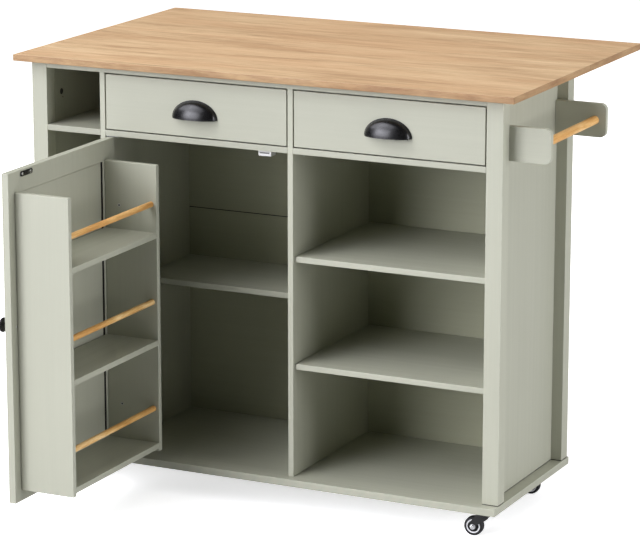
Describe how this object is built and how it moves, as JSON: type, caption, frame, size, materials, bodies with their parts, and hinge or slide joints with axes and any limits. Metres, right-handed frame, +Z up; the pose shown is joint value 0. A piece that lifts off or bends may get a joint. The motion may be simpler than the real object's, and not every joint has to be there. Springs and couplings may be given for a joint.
{
  "type": "drop_leaf_kitchen_island",
  "caption": "Rolling kitchen island with a raised rear drop leaf, inset drawers, a door carrying a spice rack, open shelves and a side towel rail",
  "frame": {"origin": "on the floor, under the middle of the bounding box in the state shown: leaf raised, door open a quarter turn, drawers shut", "axes": "+X runs along the worktop to the towel rail side, +Y runs from the drawer side to the leaf at the back, +Z is up"},
  "size_m": [1.217, 1.124, 0.9322],
  "materials": {
    "painted_board": "satin",
    "oak_board": "satin",
    "pale_dowel": "satin",
    "black_metal": "satin",
    "steel_fittings": "satin",
    "black_rubber": "matte"
  },
  "bodies": {
    "cabinet": {"bottom_board": "painted_board", "post_front_left": "painted_board", "post_front_right": "painted_board", "post_back_left": "painted_board", "post_back_right": "painted_board", "side_panel_left": "painted_board", "side_panel_right": "painted_board", "divider_left": "painted_board", "divider_middle": "painted_board", "back_panel_upper": "painted_board", "back_panel_lower": "painted_board", "top_front_rail": "painted_board", "cubby_shelf": "painted_board", "deck_middle": "painted_board", "deck_right": "painted_board", "middle_shelf": "painted_board", "right_shelf_upper": "painted_board", "right_shelf_lower": "painted_board", "towel_bracket_front": "painted_board", "towel_bracket_rear": "painted_board", "worktop_main": "oak_board", "towel_rail": "pale_dowel", "leaf_hinge_fixed": "steel_fittings", "runner_left_a": "steel_fittings", "runner_left_b": "steel_fittings", "runner_right_a": "steel_fittings", "runner_right_b": "steel_fittings", "door_hinge_upper": "steel_fittings", "door_hinge_lower": "steel_fittings", "support_hinge_left": "steel_fittings", "support_hinge_right": "steel_fittings"},
    "leaf": {"worktop_leaf": "oak_board", "leaf_hinge_moving": "steel_fittings"},
    "drawer_left": {"drawer_left_front": "painted_board", "drawer_left_tray": "painted_board", "drawer_left_pull": "black_metal"},
    "drawer_right": {"drawer_right_front": "painted_board", "drawer_right_tray": "painted_board", "drawer_right_pull": "black_metal"},
    "door": {"door_frame": "painted_board", "door_panel": "painted_board", "door_knob": "black_metal", "rack_end_hinge": "painted_board", "rack_end_free": "painted_board", "rack_shelf_upper": "painted_board", "rack_shelf_middle": "painted_board", "rack_shelf_lower": "painted_board", "rack_dowel_upper": "pale_dowel", "rack_dowel_middle": "pale_dowel", "rack_dowel_lower": "pale_dowel"},
    "support_left": {"leaf_support_left": "painted_board"},
    "support_right": {"leaf_support_right": "painted_board"},
    "caster_front_right": {"caster_fork_front_right": "black_metal"},
    "wheel_front_right": {"caster_wheel_front_right": "black_rubber"},
    "caster_back_right": {"caster_fork_back_right": "black_metal"},
    "wheel_back_right": {"caster_wheel_back_right": "black_rubber"},
    "caster_front_left": {"caster_fork_front_left": "black_metal"},
    "wheel_front_left": {"caster_wheel_front_left": "black_rubber"},
    "caster_back_left": {"caster_fork_back_left": "black_metal"},
    "wheel_back_left": {"caster_wheel_back_left": "black_rubber"}
  },
  "joints": [
    {"name": "drawer_left_slide", "type": "slide", "parent": "cabinet", "child": "drawer_left", "axis": [0, -1, 0], "range_m": [0, 0.25]},
    {"name": "drawer_right_slide", "type": "slide", "parent": "cabinet", "child": "drawer_right", "axis": [0, -1, 0], "range_m": [0, 0.25]},
    {"name": "door_hinge", "type": "hinge", "parent": "cabinet", "child": "door", "pos_m": [-0.3918, -0.13535, 0.42], "axis": [0, 0, 1], "range_deg": [-20, 90]},
    {"name": "leaf_drop", "type": "hinge", "parent": "cabinet", "child": "leaf", "pos_m": [-0.0285, 0.2555, 0.9123], "axis": [1, 0, 0], "range_deg": [-90, 0]},
    {"name": "support_left_swing", "type": "hinge", "parent": "cabinet", "child": "support_left", "pos_m": [-0.5272, 0.24215, 0.836], "axis": [0, 0, 1], "range_deg": [0, 90]},
    {"name": "support_right_swing", "type": "hinge", "parent": "cabinet", "child": "support_right", "pos_m": [0.4702, 0.24215, 0.836], "axis": [0, 0, -1], "range_deg": [0, 90]},
    {"name": "caster_front_right_swivel", "type": "hinge", "parent": "cabinet", "child": "caster_front_right", "pos_m": [0.4825, -0.12885, 0.03], "axis": [0, 0, 1], "continuous": true},
    {"name": "wheel_front_right_spin", "type": "hinge", "parent": "caster_front_right", "child": "wheel_front_right", "pos_m": [0.46356, -0.13041, 0.0205], "axis": [0.0819, -0.9966, 0], "continuous": true},
    {"name": "caster_back_right_swivel", "type": "hinge", "parent": "cabinet", "child": "caster_back_right", "pos_m": [0.4825, 0.18215, 0.03], "axis": [0, 0, 1], "continuous": true},
    {"name": "wheel_back_right_spin", "type": "hinge", "parent": "caster_back_right", "child": "wheel_back_right", "pos_m": [0.46356, 0.18059, 0.0205], "axis": [0.0819, -0.9966, 0], "continuous": true},
    {"name": "caster_front_left_swivel", "type": "hinge", "parent": "cabinet", "child": "caster_front_left", "pos_m": [-0.5395, -0.12885, 0.03], "axis": [0, 0, 1], "continuous": true},
    {"name": "wheel_front_left_spin", "type": "hinge", "parent": "caster_front_left", "child": "wheel_front_left", "pos_m": [-0.55844, -0.13041, 0.0205], "axis": [0.0819, -0.9966, 0], "continuous": true},
    {"name": "caster_back_left_swivel", "type": "hinge", "parent": "cabinet", "child": "caster_back_left", "pos_m": [-0.5395, 0.18215, 0.03], "axis": [0, 0, 1], "continuous": true},
    {"name": "wheel_back_left_spin", "type": "hinge", "parent": "caster_back_left", "child": "wheel_back_left", "pos_m": [-0.55844, 0.18059, 0.0205], "axis": [0.0819, -0.9966, 0], "continuous": true}
  ]
}
